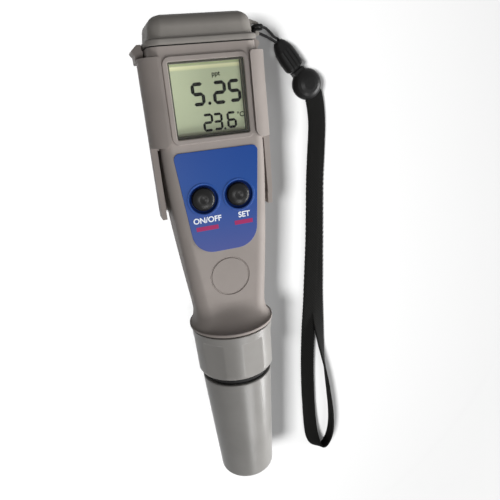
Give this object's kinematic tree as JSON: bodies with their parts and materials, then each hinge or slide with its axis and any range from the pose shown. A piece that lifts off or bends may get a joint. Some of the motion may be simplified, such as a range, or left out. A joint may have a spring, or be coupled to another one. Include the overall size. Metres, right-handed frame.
{
  "type": "pocket conductivity tester",
  "caption": "Pocket water conductivity tester with display, buttons, battery cover, replaceable probe, threaded ring, protective cap, rear cradle and wrist lanyard.",
  "frame": {"origin": "middle of the tester's length and width, on the plane that the rear cradle rests on", "axes": "+X across the tester to the lanyard's side, +Y along it from the protective cap towards the battery cover, +Z out of the display's face"},
  "size_m": [0.0723, 0.1923, 0.0318],
  "materials": {
    "housing": "warm grey moulded plastic, fine satin texture",
    "cradle": "warm grey moulded plastic, satin",
    "cover": "warm grey moulded plastic, satin",
    "lens": "clear polished window",
    "gasket": "black rubber",
    "display": "grey-green reflective display",
    "label": "blue printed film, satin",
    "inner_plastic": "dark moulded plastic",
    "board": "green circuit board",
    "component": "black component body",
    "cell_steel": "nickel-plated steel",
    "contact": "plated spring metal",
    "screw": "stainless steel",
    "button": "black rubber, slightly glossy",
    "probe": "dark grey moulded plastic",
    "electrode": "bare stainless steel",
    "ring": "grey moulded plastic, slight gloss",
    "cap": "grey moulded plastic, slight gloss",
    "string": "black braided cord",
    "buckle": "black glossy plastic",
    "strap": "black woven webbing"
  },
  "bodies": {
    "housing": {"main_housing": "housing", "rear_cradle": "cradle", "window_lens": "lens", "lens_gasket": "gasket", "display_panel": "display", "display_holder": "inner_plastic", "contact_strips": "gasket", "control_label": "label", "main_board": "board", "board_components": "component", "tact_switches": "component", "battery_tray": "inner_plastic", "button_cells": "cell_steel", "battery_contacts": "contact", "probe_socket": "inner_plastic", "probe_leads": "contact"},
    "battery_cover": {"top_cover": "cover", "cover_gasket": "gasket", "cover_screws": "screw", "cover_contact": "contact", "lanyard_string": "string", "buckle_socket": "buckle"},
    "power_key": {"power_button": "button", "power_plunger": "screw"},
    "set_key": {"set_button": "button", "set_plunger": "screw"},
    "probe": {"probe_body": "probe", "probe_gasket": "gasket", "probe_o_rings": "gasket", "probe_plug_pins": "contact", "electrode_pins": "electrode", "temperature_sensor": "electrode", "cap_seal": "gasket"},
    "ring": {"threaded_ring": "ring"},
    "cap": {"protective_cap": "cap"},
    "strap": {"buckle_plug": "buckle", "wrist_strap": "strap"}
  },
  "joints": [
    {"name": "cover_lift", "type": "slide", "parent": "housing", "child": "battery_cover", "axis": [0, 1, 0], "range_m": [0, 0.02]},
    {"name": "power_press", "type": "slide", "parent": "housing", "child": "power_key", "axis": [0, 0, -1], "range_m": [0, 0.0008], "stiffness_N_per_m": 2000},
    {"name": "set_press", "type": "slide", "parent": "housing", "child": "set_key", "axis": [0, 0, -1], "range_m": [0, 0.0008], "stiffness_N_per_m": 2000},
    {"name": "probe_release", "type": "slide", "parent": "housing", "child": "probe", "axis": [0, -1, 0], "range_m": [0, 0.0121]},
    {"name": "ring_turn", "type": "hinge", "parent": "probe", "child": "ring", "pos_m": [0, -0.03, 0.0159], "axis": [0, -1, 0], "range_deg": [0, 1080]},
    {"name": "cap_pull", "type": "slide", "parent": "probe", "child": "cap", "axis": [0, -1, 0], "range_m": [0, 0.045]},
    {"name": "buckle_release", "type": "slide", "parent": "battery_cover", "child": "strap", "axis": [0.5592, -0.829, 0], "range_m": [0, 0.008]}
  ],
  "couplings": [
    {"joint": "probe_release", "follows": "ring_turn", "m_per_rad": 0.00063662}
  ]
}
